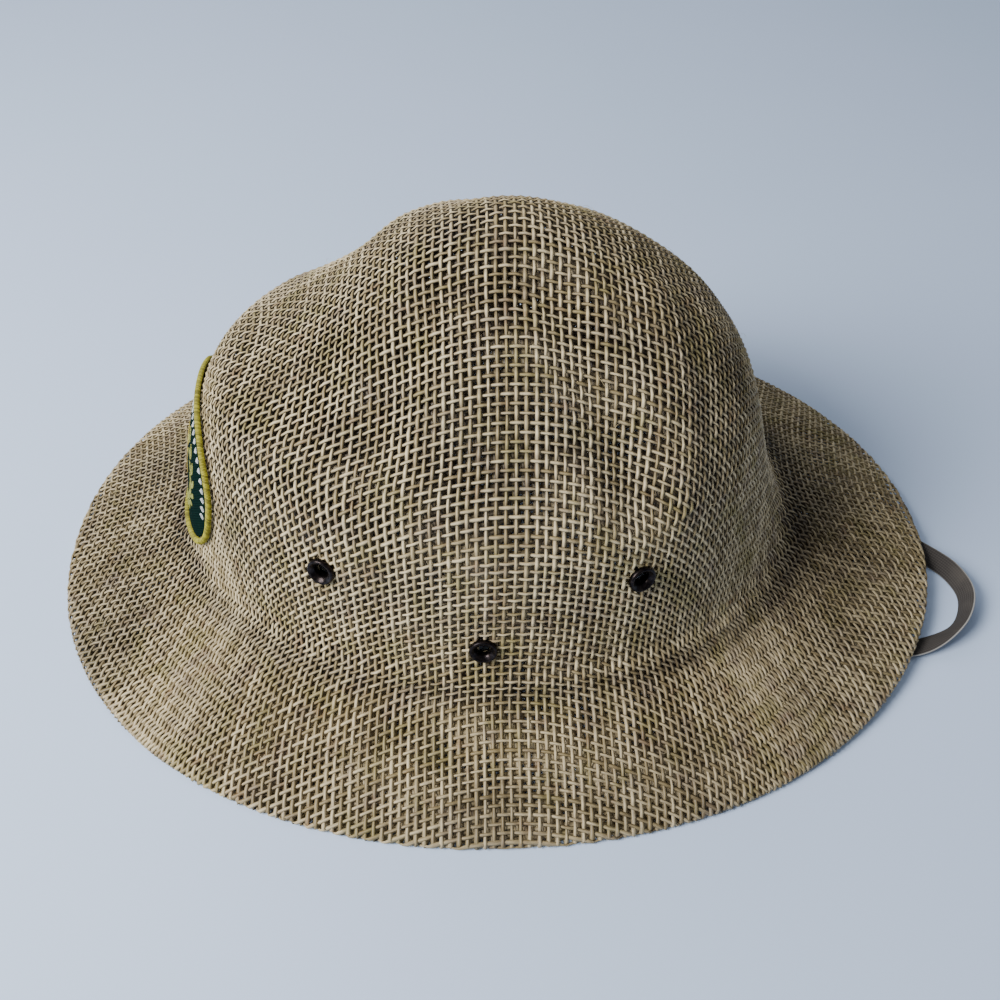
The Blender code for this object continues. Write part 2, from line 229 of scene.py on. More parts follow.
DENTS = {
    "left front valley": Dent(-1, -0.31, 0.62, -0.13, 0.90, 0.014, -0.0016),
    "left back valley": Dent(-1, 0.20, 0.60, 0.06, 0.91, 0.015, -0.0026),
    "left back ridge": Dent(-1, 0.29, 0.57, 0.26, 0.85, 0.013, 0.0014),
    "right front valley": Dent(1, -0.38, 0.64, -0.27, 0.80, 0.015, -0.0012),
    "right front shoulder": Dent(1, -0.22, 0.84, -0.14, 0.89, 0.016, 0.0012),
    "right back valley": Dent(1, 0.20, 0.60, 0.10, 0.84, 0.015, -0.0020),
}


class StrapPoint(NamedTuple):
    """A point that the middle of the strap passes through, and how far its upper edge leans out of the loop
    from upright, in degrees. A height of 0 stands for lying on the surface."""

    x: float
    y: float
    z: float
    lean: float


STRAP_ROUTE = (
    StrapPoint(0.012, -0.0884, 0.0300, 0),
    StrapPoint(0.028, -0.0860, 0.0160, 8),
    StrapPoint(0.055, -0.0800, 0.0, 30),
    StrapPoint(0.095, -0.0730, 0.0, 48),
    StrapPoint(0.130, -0.0710, 0.0, 70),
    StrapPoint(0.150, -0.0695, 0.0, 75),
    StrapPoint(0.166, -0.0625, 0.0, 34),
    StrapPoint(0.1748, -0.0500, 0.0, 30),
    StrapPoint(0.1750, -0.0385, 0.0, 36),
    StrapPoint(0.169, -0.0270, 0.0, 54),
    StrapPoint(0.152, -0.0090, 0.0, 62),
    StrapPoint(0.120, 0.0210, 0.0, 50),
    StrapPoint(0.085, 0.0500, 0.0, 38),
    StrapPoint(0.050, 0.0730, 0.0, 24),
    StrapPoint(0.028, 0.0850, 0.0160, 6),
    StrapPoint(0.012, 0.0884, 0.0300, 0),
)

HALF_LENGTH = BRIM_LENGTH / 2
HALF_WIDTH = BRIM_WIDTH / 2
LAST_SECTION = len(SECTIONS) - 1
PAST_THE_TOP = np.array(SECTIONS["cap"]) * (1, -1, -1, -1)
SECTION_TABLE = np.vstack((list(SECTIONS.values()), PAST_THE_TOP))
BRIM_SLOPE = math.atan2(
    SECTIONS["brim outer"].rise * HAT_HEIGHT, (1 - SECTIONS["brim outer"].side) * HALF_WIDTH
)
EDGE_HEIGHT = WALL * math.cos(BRIM_SLOPE) - EDGE_TRIM
RISE = HAT_HEIGHT - EDGE_HEIGHT
HEART = np.array((-0.004, 0.0, 0.35 * HAT_HEIGHT))


# Vectors, turns and lines

def unit(vectors):
    return vectors / np.maximum(np.linalg.norm(vectors, axis=-1, keepdims=True), 1e-12)


def towards(turns):
    """Unit vectors of a plane, by their turn from its first axis."""
    return np.stack((np.cos(turns), np.sin(turns)), -1)


def turned_from(turns, middle):
    """How far these turns are from one of them, the shorter way round."""
    return np.arctan2(np.sin(turns - middle), np.cos(turns - middle))


def way_along(line):
    """How far along a line each of its points lies."""
    return np.append(0, np.cumsum(np.linalg.norm(np.diff(line, axis=0), axis=1)))


# The pressed form of the straw, as in the CAD

def smooth_through(rows, places):
    """Rows of numbers read at fractional row numbers, along a curve through all the rows."""
    rows = np.asarray(rows, float)
    padded = np.vstack((2 * rows[0] - rows[1], rows, 2 * rows[-1] - rows[-2]))
    step = np.clip(np.floor(places).astype(int), 0, len(rows) - 2)
    part = (places - step)[..., None]
    before, start, end, after = (padded[step + number] for number in range(4))
    slope_in = (end - before) / 2
    slope_out = (after - start) / 2
    bend = 3 * (end - start) - 2 * slope_in - slope_out
    twist = 2 * (start - end) + slope_in + slope_out
    return start + part * (slope_in + part * (bend + part * twist))


FINE_PLACES = np.linspace(0, LAST_SECTION, 40 * LAST_SECTION + 1)
FINE_RISES = smooth_through(SECTION_TABLE, FINE_PLACES)[:, 0]


def place_at(height):
    """The fractional row of SECTIONS at which the crown's wall is this high above the surface."""
    return np.interp((np.asarray(height) - EDGE_HEIGHT) / RISE, FINE_RISES, FINE_PLACES)


def pressed_form(places, turns):
    """Points on the outside of the straw without its dents, by fractional row of SECTIONS and turn."""
    rise, front, back, side = np.moveaxis(smooth_through(SECTION_TABLE, places), -1, 0)
    along, across = np.cos(turns), np.sin(turns)
    reach = np.where(along > 0, back, front) * HALF_LENGTH
    x = reach * np.sign(along) * np.abs(along) ** (2 / CORNER_POWER)
    y = side * HALF_WIDTH * np.sign(across) * np.abs(across) ** (2 / CORNER_POWER)
    on_brim = np.clip(1 - rise / SECTIONS["foot"].rise, 0, 1)
    away = turned_from(turns, BACK_LIFT_TURN) / BACK_LIFT_SPREAD
    z = EDGE_HEIGHT + rise * RISE + BACK_LIFT * on_brim * np.exp(-(away**2))
    return np.stack((x, y, z), -1)


def turn_at(places, x):
    """The turn from +X, on the left side, at which the wall reaches this x."""
    _, front, back, _ = np.moveaxis(smooth_through(SECTION_TABLE, places), -1, 0)
    share = np.clip(np.where(x > 0, x / back, x / front) / HALF_LENGTH, -1, 1)
    return -np.arccos(np.sign(share) * np.abs(share) ** (CORNER_POWER / 2))


def turn_across(places, y):
    """The turn from +X, at the front, at which the wall reaches this y."""
    side = smooth_through(SECTION_TABLE, places)[..., 3] * HALF_WIDTH
    share = np.clip(np.abs(y) / side, 0, 1) ** (CORNER_POWER / 2)
    return math.pi - np.arcsin(share) * np.sign(y)


def dented(points):
    """Points of the pressed form, pushed in or out by the dents."""
    outward = unit(points - HEART)
    pushed = points.copy()
    for dent in DENTS.values():
        ends = []
        for x, rise in ((dent.low_x, dent.low_rise), (dent.high_x, dent.high_rise)):
            place = place_at(EDGE_HEIGHT + rise * RISE)
            ends.append(pressed_form(place, turn_at(place, np.asarray(x * HALF_LENGTH))))
        low, high = (end * (1, -dent.side, 1) for end in ends)
        line = high - low
        share = np.clip((points - low) @ line / (line @ line), 0, 1)
        distance = np.linalg.norm(points - low - share[..., None] * line, axis=-1)
        weight = np.clip(1 - (distance / dent.half_width) ** 2, 0, 1) ** 2
        pushed += outward * (dent.depth * weight)[..., None]
    return pushed


def outside(places, turns):
    """Points on the outside of the straw, dents included."""
    return dented(pressed_form(places, turns))


def with_normals(form, spots, step):
    """Points of a form at spots of two coordinates each, and the unit normals there."""
    ways = [form(spots + shift) - form(spots - shift) for shift in np.eye(2) * step]
    return form(spots), unit(np.cross(*ways))


def outside_and_normals(places, turns):
    """The same points as outside(), and the unit vectors that point out of the straw there."""
    spots = np.stack((turns, places), -1)
    return with_normals(lambda spots: outside(spots[..., 1], spots[..., 0]), spots, 1e-3)


# The flat plan of the cloth

def ways_from_top():
    """The mean way down the form from the top to each of FINE_PLACES, and the edge's way per place. In the
    plan a point lies in its own direction from the middle, and as far from it as this way."""
    turns = np.arange(48) * math.tau / 48
    lines = pressed_form(FINE_PLACES[:, None] + 0 * turns, turns + 0 * FINE_PLACES[:, None])
    steps = np.linalg.norm(np.diff(lines, axis=0), axis=2).mean(1)
    down = np.append(np.cumsum(steps[::-1])[::-1], 0)
    return down, down[0] - np.interp(1, FINE_PLACES, down)


WAYS, EDGE_WAY = ways_from_top()
EDGE_REACH = WAYS[0]
FOLD_REACH = EDGE_REACH - EDGE_INSET


def places_and_turns(plan):
    """The fractional rows of SECTIONS and the turns from +X at points of the plan."""
    reach = np.hypot(plan[..., 0], plan[..., 1])
    inside = np.interp(reach, WAYS[::-1], FINE_PLACES[::-1])
    places = np.where(reach <= EDGE_REACH, inside, (EDGE_REACH - reach) / EDGE_WAY)
    return places, np.arctan2(plan[..., 1], plan[..., 0])


def smooth_form(plan):
    """Points of the pressed form at points of the plan, without dents. Past the brim's edge the form goes
    on straight."""
    places, turns = places_and_turns(plan)
    points = pressed_form(np.maximum(places, 0), turns)
    step = 0.2
    inner = pressed_form(np.full_like(turns, step), turns)
    edge = pressed_form(np.zeros_like(turns), turns)
    return points + (edge - inner) * np.maximum(-places, 0)[..., None] / step


def skin(plan):
    """Points on the outside of the straw at points of the plan, and the normals there."""
    return with_normals(lambda spots: dented(smooth_form(spots)), plan, 4e-4)


# Laying the cloth

def first_threads(grain, pitch, reach):
    """Evenly spaced knots on the four threads that leave the top, as points of the plan."""
    threads = []
    for quarter in range(4):
        turn = grain + quarter * math.pi / 2
        away = np.linspace(0, reach, 4000)
        way = way_along(smooth_form(away[:, None] * towards(turn)))
        knots = np.interp(np.arange(0, way[-1], pitch), way, away)
        threads.append(knots[:, None] * towards(turn))
    return threads


def next_knots(plan, left, below, pitch):
    """Moves each point of the plan until it is one pitch from the two points that it is tied to."""
    step = 1e-6
    for _ in range(KNOT_ROUNDS):
        point = smooth_form(plan)
        by_x = (smooth_form(plan + (step, 0)) - point) / step
        by_y = (smooth_form(plan + (0, step)) - point) / step
        miss, slopes = [], []
        for tied in (left, below):
            apart = point - tied
            miss.append((apart**2).sum(1) - pitch**2)
            slopes.append((2 * (apart * by_x).sum(1), 2 * (apart * by_y).sum(1)))
        (a, b), (c, d) = slopes
        area = a * d - b * c
        area = np.where(np.abs(area) < 1e-12, 1e-12, area)
        move = np.stack((miss[1] * b - miss[0] * d, miss[0] * c - miss[1] * a), -1) / area[:, None]
        size = np.linalg.norm(move, axis=1, keepdims=True)
        plan = plan + move * np.minimum(1, KNOT_STRIDE * pitch / np.maximum(size, 1e-12))
    return plan


def lay_quarters(grain, pitch, reach):
    """The knots of the cloth in the quarters between its first threads, worked outwards from the top."""
    threads = first_threads(grain, pitch, reach)
    count = max(map(len, threads))
    plans = np.full((4, count, count, 2), np.nan)
    for quarter, thread in enumerate(threads):
        plans[quarter, :len(thread), 0] = thread
        plans[quarter - 1, 0, :len(thread)] = thread
    for total in range(2, 2 * count - 1):
        one = np.arange(max(1, total - count + 1), min(total, count))
        quarter, one = (grid.ravel() for grid in np.meshgrid(range(4), one, indexing="ij"))
        two = total - one
        kept = (two >= 1) & (two < count)
        quarter, one, two = quarter[kept], one[kept], two[kept]
        left, below = plans[quarter, one - 1, two], plans[quarter, one, two - 1]
        start = left + below - plans[quarter, one - 1, two - 1]
        known = np.isfinite(start[:, 0])
        if not known.any():
            break
        quarter, one, two, left, below, start = (
            values[known] for values in (quarter, one, two, left, below, start)
        )
        knots = next_knots(start, smooth_form(left), smooth_form(below), pitch)
        lost = np.linalg.norm(knots - start, axis=1) > pitch
        knots[lost] = start[lost]
        knots[np.hypot(knots[:, 0], knots[:, 1]) > reach] = np.nan
        plans[quarter, one, two] = knots
    return plans


def lay_cloth(grain, pitch, reach):
    """The whole cloth as one grid of knots in the plan, with its kinks settled. Past reach it holds nan.
    Its two sets of threads keep their spacing along each other and shear over the form."""
    quarters = lay_quarters(grain, pitch, reach)
    last = quarters.shape[1] - 1
    one, two = np.meshgrid(range(last + 1), range(last + 1), indexing="ij")
    cloth = np.full((2 * last + 1, 2 * last + 1, 2), np.nan)
    for knots, row, column in zip(quarters, (one, -two, -one, two), (two, one, -two, -one)):
        cloth[last + row, last + column] = knots
    for _ in range(SETTLING_ROUNDS):
        inner = cloth[1:-1, 1:-1]
        around = (cloth[:-2, 1:-1] + cloth[2:, 1:-1] + cloth[1:-1, :-2] + cloth[1:-1, 2:]) / 4
        inner += np.where(np.isfinite(around), (around - inner) / 2, 0)
    return cloth


def under_the_hem(plan, depth):
    """Where the middle of a ply this deep in the straw lies, and its normals. What passes the fold turns
    round it and comes back under the brim."""
    reach = np.hypot(plan[..., 0], plan[..., 1])
    turn_radius = (HEM_DEPTH - depth) / 2
    past = np.maximum(reach - FOLD_REACH, 0)
    angle = np.minimum(past / turn_radius, math.pi)[..., None]
    back = np.maximum(past - math.pi * turn_radius, 0)
    share = (np.minimum(reach, FOLD_REACH) - back) / np.maximum(reach, 1e-9)
    held = plan * share[..., None]
    points, normals = skin(held)
    outward = unit(smooth_form(held * 1.001) - smooth_form(held))
    turned = normals * np.cos(angle) + outward * np.sin(angle)
    return points - normals * (depth + turn_radius) + turned * turn_radius, turned


class Threads(NamedTuple):
    """Threads side by side in a table: rows are threads, columns are points along them. Besides points and
    normals it holds how plump each thread is, its shade of colour, how dark it is with wear and with painted
    shade in creases, how deep it lies under the other threads, which the material paints as shade, and how
    dark the painted shade of the hollows beside it is."""

    points: np.ndarray
    normals: np.ndarray
    plump: np.ndarray
    shade: np.ndarray
    wear_and_shade: np.ndarray
    deep: np.ndarray
    hollow: np.ndarray


def even_threads(points, normals, shade, plump=1.0):
    """Threads with no wear, from one shade for each."""
    zero = np.zeros(points.shape[:-1])
    return Threads(points, normals, plump + zero, shade[:, None] + zero, zero, zero, zero)


def slubs(rows, columns, seed, step):
    """Random numbers of about -1 to 1 that change smoothly along each of some threads."""
    random = np.random.default_rng(seed)
    grid = random.normal(size=(rows, int(columns / step) + 4)) * 0.6
    at = np.arange(columns) / step
    low = at.astype(int)
    part = at - low
    part = part * part * (3 - 2 * part)
    return grid[:, low] * (1 - part) + grid[:, low + 1] * part


def eyelet_distance(points, frames):
    """How far each point is from the axis of the eyelet that is nearest to it."""
    nearest = np.full(points.shape[:-1], 1.0)
    for matrix in frames.values():
        offset = points - np.array(matrix.translation)
        axis = np.array(matrix.col[2])[:3]
        along = offset @ axis
        distance = np.linalg.norm(offset - along[..., None] * axis, axis=-1)
        nearest = np.where(np.abs(along) < CUT_DEPTH, np.minimum(nearest, distance), nearest)
    return nearest


class ThreadSet(NamedTuple):
    """One of a ply's two sets of threads: how deep the ply lies, the parts from crossing to crossing, the
    phase (0 or 1, so that one set passes over where the other passes under), the seed, how uneven the
    threads are, how many pieces they make, and their width and thickness."""

    depth: float
    parts: int
    phase: int
    seed: int
    uneven: float
    pieces: int
    width: float
    thickness: float


THREAD_SETS = {
    "upright": ThreadSet(OUTER_DEPTH, 2, 0, 11, 0.17, 2, 0.00122, 0.00066),
    "level": ThreadSet(OUTER_DEPTH, 2, 1, 12, 0.13, 2, 0.00112, 0.00058),
    "inner_upright": ThreadSet(INNER_DEPTH, 1, 0, 13, 0.14, 1, 0.00190, 0.00060),
    "inner_level": ThreadSet(INNER_DEPTH, 1, 1, 14, 0.10, 1, 0.00190, 0.00054),
}


def threads_of(cloth, kind, frames):
    """One set of threads of a ply."""
    parts = kind.parts
    rows, knots = cloth.shape[:2]
    at = np.arange((knots - 1) * parts + 1) / parts
    low = np.minimum(at.astype(int), knots - 2)
    part = (at - low)[:, None]
    plan = np.where(part > 0, cloth[:, low] * (1 - part) + cloth[:, low + 1] * part, cloth[:, low])
    plan[:, -1] = cloth[:, -1]
    reach = np.hypot(plan[..., 0], plan[..., 1])
    points, normals = under_the_hem(plan, kind.depth)
    distance = eyelet_distance(points, frames)
    pressed = np.clip((PRESS_RADIUS - distance) / (PRESS_RADIUS - EYELET_FLANGE_RADIUS), 0, 1)
    over = np.cos(math.pi * (at + kind.phase + np.arange(rows)[:, None]))
    folded = np.exp(-(((reach - FOLD_REACH) / FOLD_SPREAD) ** 2))
    lift = over * THREAD_LIFT * (1 - PRESS_FLAT * pressed) * (1 - FOLD_FLAT * folded) - PRESS_DEPTH * pressed
    points = points + normals * lift[..., None]
    points[..., 2] = np.maximum(points[..., 2], THREAD_CLEAR)
    points[distance < CUT_RADIUS] = np.nan
    random = np.random.default_rng(kind.seed)
    shade = random.uniform(0, 1, rows)[:, None] + 0 * over
    plump = 1 + kind.uneven * slubs(rows, len(at), kind.seed + 1, 4 * parts)
    plump += PLUMP_SPREAD * random.normal(size=rows)[:, None] + FOLD_PLUMP * folded
    # Painted shade: the hollows beside a thread are darker, less so where an eyelet presses it, and a thread
    # is darker where it passes under another
    hollow = hollow_at(plan) * (1 - PRESS_DARK * pressed)
    deep = (0.5 - 0.5 * over) * hollow
    plump = np.clip(plump, *PLUMP_LIMITS)
    return Threads(points, normals, plump, shade, wear_and_shade_at(plan), deep, hollow)


def hollow_at(plan):
    """How dark the painted shade in the hollows between threads is: less on the brim, which is near the pale
    floor.
    """
    places, _ = places_and_turns(plan)
    rows = [list(SECTIONS).index(name) for name in HOLLOWS]
    return np.interp(places, rows, list(HOLLOWS.values()))


class WearAndShade(NamedTuple):
    """Darkening (lightening below 0) round one section, from dust and age in some entries and painted shade
    in
    others: how much, and over how many rows of SECTIONS. Where it doesn't go all round, its turn from +X in
    degrees and how far it spreads to each side, in radians."""

    amount: float
    section: str
    rows: float
    turn: float = 0
    spread: float = math.inf


WEAR_AND_SHADE = (
    # Painted shade along the crease at the foot, all round
    WearAndShade(0.36, "foot", 0.9),
    WearAndShade(0.10, "edge", 0.5),
    WearAndShade(-0.12, "belt", 0.5),
    WearAndShade(0.25, "brim outer", 1.6, -158, 0.16),
    # Painted shade on the brim towards the back, away from the window
    WearAndShade(0.18, "brim middle", 2.5, -20, 0.5),
    # Painted shade in the crease between crown and brim at the back
    WearAndShade(0.30, "brim inner", 1.5, 0, 0.8),
    WearAndShade(0.44, "brim middle", 2.6, 172, 0.75),
    WearAndShade(0.40, "brim outer", 2.6, -65, 0.85),
    WearAndShade(0.12, "brim outer", 2.6),
)


def wear_and_shade_at(plan):
    """How dark the straw is at points of the plan, with dust and age and with painted shade: below 0
    lighter, 1 at most.
    """
    places, turns = places_and_turns(plan)
    total = np.zeros(turns.shape)
    for mark in WEAR_AND_SHADE:
        rows = (places - list(SECTIONS).index(mark.section)) / mark.rows
        away = turned_from(turns, math.radians(mark.turn)) / mark.spread
        total += mark.amount * np.exp(-(rows**2) - away**2)
    return np.clip(total, -0.3, 1)


# Geometry Nodes

def add_node(tree, kind, settings, sockets):
    """Any node, with its settings, and its sockets set or linked."""
    node = tree.nodes.new(kind)
    for name, value in (settings or {}).items():
        setattr(node, name, value)
    for name, value in (sockets or {}).items():
        feed(tree, node.inputs[name], value)
    return node


def feed(tree, socket, value):
    """Sets a socket, or links it where the value is a signal or another socket."""
    source = getattr(value, "socket", value)
    if isinstance(source, bpy.types.NodeSocket):
        tree.links.new(source, socket)
    else:
        socket.default_value = value


class Tree:
    """A Geometry Nodes tree, with short ways to add its nodes."""

    def __init__(self, name, sizes):
        self.tree = bpy.data.node_groups.new(name, "GeometryNodeTree")
        face = self.tree.interface
        face.new_socket("Geometry", in_out="INPUT", socket_type="NodeSocketGeometry")
        self.identifiers = {}
        for size, kind in sizes.items():
            socket = face.new_socket(size, in_out="INPUT", socket_type=kind)
            self.identifiers[size] = socket.identifier
        face.new_socket("Geometry", in_out="OUTPUT", socket_type="NodeSocketGeometry")
        self.input = self.tree.nodes.new("NodeGroupInput").outputs
        self.output = self.tree.nodes.new("NodeGroupOutput").inputs

    def add(self, kind, settings=None, sockets=None, out=0):
        return add_node(self.tree, kind, settings, sockets).outputs[out]

    def attribute(self, name, kind):
        return self.add("GeometryNodeInputNamedAttribute", {"data_type": kind}, {"Name": name})

    def store(self, geometry, name, kind, value):
        return self.add(
            "GeometryNodeStoreNamedAttribute", {"data_type": kind, "domain": "POINT"},
            {"Geometry": geometry, "Name": name, "Value": value},
        )

    def finish(self, geometry):
        self.tree.links.new(geometry, self.output["Geometry"])


def thread_tree():
    """Turns edges into threads with a flattened round section, whose flat side faces along "outward"."""
    tree = Tree("threads_along_edges", {
        "Width": "NodeSocketFloat",
        "Thickness": "NodeSocketFloat",
        "Facets": "NodeSocketInt",
        "Material": "NodeSocketMaterial",
    })
    line = tree.add("GeometryNodeMeshToCurve", sockets={"Mesh": tree.input["Geometry"]})
    line = tree.add(
        "GeometryNodeSetCurveNormal", {"mode": "FREE"},
        {"Curve": line, "Normal": tree.attribute("outward", "FLOAT_VECTOR")},
    )
    line = tree.store(line, "along", "FLOAT", tree.add("GeometryNodeSplineParameter", out="Length"))
    ring = tree.add(
        "GeometryNodeCurvePrimitiveCircle", {"mode": "RADIUS"},
        {"Resolution": tree.input["Facets"], "Radius": 0.5},
    )
    ring = tree.store(ring, "around", "FLOAT_VECTOR", tree.add("GeometryNodeInputPosition"))
    section = tree.add(
        "ShaderNodeCombineXYZ", sockets={"X": tree.input["Thickness"], "Y": tree.input["Width"], "Z": 1.0}
    )
    ring = tree.add("GeometryNodeTransform", sockets={"Geometry": ring, "Scale": section})
    cloth = tree.add("GeometryNodeCurveToMesh", sockets={
        "Curve": line, "Profile Curve": ring, "Scale": tree.attribute("plump", "FLOAT"), "Fill Caps": True,
    })
    cloth = tree.add("GeometryNodeSetShadeSmooth", sockets={"Geometry": cloth})
    cloth = tree.add("GeometryNodeRealizeInstances", sockets={"Geometry": cloth})
    tree.finish(tree.add(
        "GeometryNodeSetMaterial", sockets={"Geometry": cloth, "Material": tree.input["Material"]}
    ))
    return tree


def add_attribute(mesh, name, values):
    """A number or a vector for each point of a mesh."""
    kind, field = ("FLOAT", "value") if values.ndim == 1 else ("FLOAT_VECTOR", "vector")
    mesh.attributes.new(name, kind, "POINT").data.foreach_set(field, values.astype(np.float32).ravel())


def edges_object(name, threads):
    """The lines of these threads as a mesh of edges that carries what the tree and the material read."""
    kept = np.isfinite(threads.points[..., 0])
    joined = kept[:, 1:] & kept[:, :-1]
    used = np.zeros_like(kept)
    used[:, 1:] |= joined
    used[:, :-1] |= joined
    number = np.cumsum(used).reshape(used.shape) - 1
    edges = np.stack((number[:, :-1][joined], number[:, 1:][joined]), -1)
    mesh = bpy.data.meshes.new(name)
    mesh.vertices.add(int(used.sum()))
    mesh.edges.add(len(edges))
    mesh.vertices.foreach_set("co", threads.points[used].astype(np.float32).ravel())
    mesh.edges.foreach_set("vertices", edges.astype(np.int32).ravel())
    add_attribute(mesh, "outward", threads.normals[used])
    for label in ("plump", "shade", "wear_and_shade", "deep", "hollow"):
        add_attribute(mesh, label, getattr(threads, label)[used])
    return add_piece(name, mesh)


def spun(name, threads, tree, material, width, thickness, facets=4):
    """The plain mesh that the tree makes of threads, as a new object."""
    lines = edges_object(name + "_lines", threads)
    modifier = lines.modifiers.new(tree.tree.name, "NODES")
    modifier.node_group = tree.tree
    sizes = {"Width": width, "Thickness": thickness, "Facets": facets, "Material": material}
    for size, value in sizes.items():
        modifier[tree.identifiers[size]] = value
    bpy.context.view_layer.update()
    graph = bpy.context.evaluated_depsgraph_get()
    mesh = bpy.data.meshes.new_from_object(
        lines.evaluated_get(graph), preserve_all_data_layers=True, depsgraph=graph
    )
    bpy.data.objects.remove(lines, do_unlink=True)
    return add_piece(name, mesh)


# Pieces

def add_piece(name, mesh, *materials):
    mesh.name = name
    made = bpy.data.objects.new(name, mesh)
    for material in materials:
        mesh.materials.append(material)
    bpy.context.scene.collection.objects.link(made)
    return made


def rings_mesh(name, rings, along_closed=False, capped=False):
    """A smooth-shaded mesh from a table of points: rings by points round each ring."""
    count, facets = rings.shape[:2]
    faces = []
    for ring in range(count if along_closed else count - 1):
        for facet in range(facets):
            here, beside = ring * facets, (ring + 1) % count * facets
            following = (facet + 1) % facets
            faces.append((here + facet, here + following, beside + following, beside + facet))
    if capped:
        faces.append(tuple(range(facets))[::-1])
        faces.append(tuple((count - 1) * facets + facet for facet in range(facets)))
    mesh = bpy.data.meshes.new(name)
    mesh.from_pydata(rings.reshape(-1, 3).tolist(), [], faces)
    mesh.polygons.foreach_set("use_smooth", np.ones(len(faces), bool))
    mesh.update()
    return mesh


def eyelet_places():
    """Each eyelet's name and its frame: on the outside of the straw, with Z pointing out of it."""
    half = EYELET_SPACING / 2
    spots = {
        "front": (EYELET_MIDDLE_X - half, EYELET_HIGH),
        "back": (EYELET_MIDDLE_X + half, EYELET_HIGH),
        "low": (EYELET_MIDDLE_X, EYELET_LOW),
    }
    frames = {}
    for side, mirror in (("left", 1), ("right", -1)):
        for spot, (x, z) in spots.items():
            place = place_at(z)
            turn = turn_at(place, np.asarray(x)) * mirror
            point, normal = outside_and_normals(place, turn)
            matrix = Vector(normal).to_track_quat("Z", "Y").to_matrix().to_4x4()
            matrix.translation = Vector(point)
            frames[f"eyelet_{side}_{spot}"] = matrix
    return frames


def wall_under(matrix, radius):
    """The highest and lowest that the straw's outside gets along an eyelet's axis, this near to it."""
    centre = np.array(matrix.translation)
    axis = np.array(matrix.col[2])[:3]
    places = place_at(centre[2]) + np.linspace(-1, 1, 41)[:, None] + np.zeros(41)
    turns = math.atan2(centre[1], centre[0]) + np.linspace(-0.15, 0.15, 41) + np.zeros((41, 1))
    offsets = (outside(places, turns) - centre).reshape(-1, 3)
    heights = offsets @ axis
    near = np.linalg.norm(offsets - heights[:, None] * axis, axis=1) < radius
    return max(heights[near].max(), 0.0), min(heights[near].min(), 0.0)


def make_eyelet(node, matrix, metal):
    """A rolled metal eyelet: a rounded flange outside, a barrel through the straw and a washer inside."""
    highest, lowest = wall_under(matrix, EYELET_FLANGE_RADIUS)
    seat, back_seat = highest + GAP, lowest - WALL - GAP
    barrel = EYELET_HOLE_RADIUS + EYELET_METAL
    lip = lowest - EYELET_LIP
    flange = EYELET_FLANGE_RADIUS - EYELET_HOLE_RADIUS
    profile = [(EYELET_HOLE_RADIUS, back_seat - EYELET_METAL / 2)]
    for share, high in EYELET_ROLL:
        profile.append((EYELET_HOLE_RADIUS + share * flange, seat + high * EYELET_DOME))
    profile += [
        (EYELET_FLANGE_RADIUS, lip),
        (EYELET_FLANGE_RADIUS - EYELET_METAL / 2, lip),
        (barrel, seat),
        (barrel, back_seat),
        (EYELET_FLANGE_RADIUS - EYELET_LIP, back_seat),
        (EYELET_FLANGE_RADIUS, back_seat - EYELET_LIP),
        (EYELET_FLANGE_RADIUS - EYELET_LIP, back_seat - EYELET_METAL),
        (barrel, back_seat - EYELET_METAL),
    ]
    radii, heights = np.array(profile).T
    turns = np.arange(EYELET_FACETS) * math.tau / EYELET_FACETS
    rings = np.zeros((len(profile), EYELET_FACETS, 3))
    rings[..., :2] = radii[:, None, None] * towards(turns)
    rings[..., 2] = heights[:, None]
    mesh = rings_mesh(node, rings[::-1], along_closed=True)
    mesh.transform(matrix)
    made = add_piece(node + "_rolled", mesh, metal)
    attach(made, "root")
    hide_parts(node)


def patch_point(y, z, lift):
    """A point on the front of the crown by its offset from the patch's middle, and the normal there."""
    place = place_at(PATCH_MIDDLE_Z + z)
    point, normal = outside_and_normals(place, turn_across(place, PATCH_MIDDLE_Y + y))
    return point + normal * np.asarray(lift)[..., None], normal


def patch_outline(angle, inset):
    """Offsets from the patch's middle of a ring that lies this far inside its edge."""
    across, up = np.cos(angle), np.sin(angle)
    y = (PATCH_WIDTH / 2 - inset) * np.sign(across) * np.abs(across) ** (2 / PATCH_POWER)
    z = (PATCH_HEIGHT / 2 - inset) * np.sign(up) * np.abs(up) ** (2 / PATCH_POWER)
    return y, z


def make_patch_field(cloth):
    """The green cloth of the patch, with a rounded rim."""
    y, z = patch_outline(np.arange(PATCH_SPOKES) * math.tau / PATCH_SPOKES, BORDER_DIAMETER + GAP)
    shares = np.append(np.linspace(0.004, 1, PATCH_RINGS), 1)[:, None]
    rounded = 1 - PATCH_RIM_DROP * (1 - np.clip((1 - shares) / PATCH_RIM_WIDTH, 0, 1) ** 0.5)
    rounded[-1] = 0  # the last ring lies under the rim
    points, _ = patch_point(shares * y, shares * z, 2 * GAP + PATCH_THICKNESS * rounded + 0 * y)
    mesh = rings_mesh("patch_cloth", points, capped=True)
    made = add_piece("patch_cloth", mesh, cloth)
    add_attribute(mesh, "flat", np.stack((shares * y, shares * z, 0 * shares * y), -1))
    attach(made, "root")
    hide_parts("patch_field")


def leaf(centre, turn, length, width, count):
    """Ends of the satin stitches across a leaf shape on the patch."""
    share = (np.arange(count) + 0.5) / count
    axis = centre + (share - 0.5)[:, None] * length * towards(turn)
    half = (width / 2 * np.sin(math.pi * share) ** 0.8)[:, None] * towards(turn + math.pi / 2)
    return axis - half, axis + half


def joined(stitches):
    """One table of all the starts of these stitches and one of all their ends."""
    return [np.concatenate(ends) for ends in zip(*stitches)]


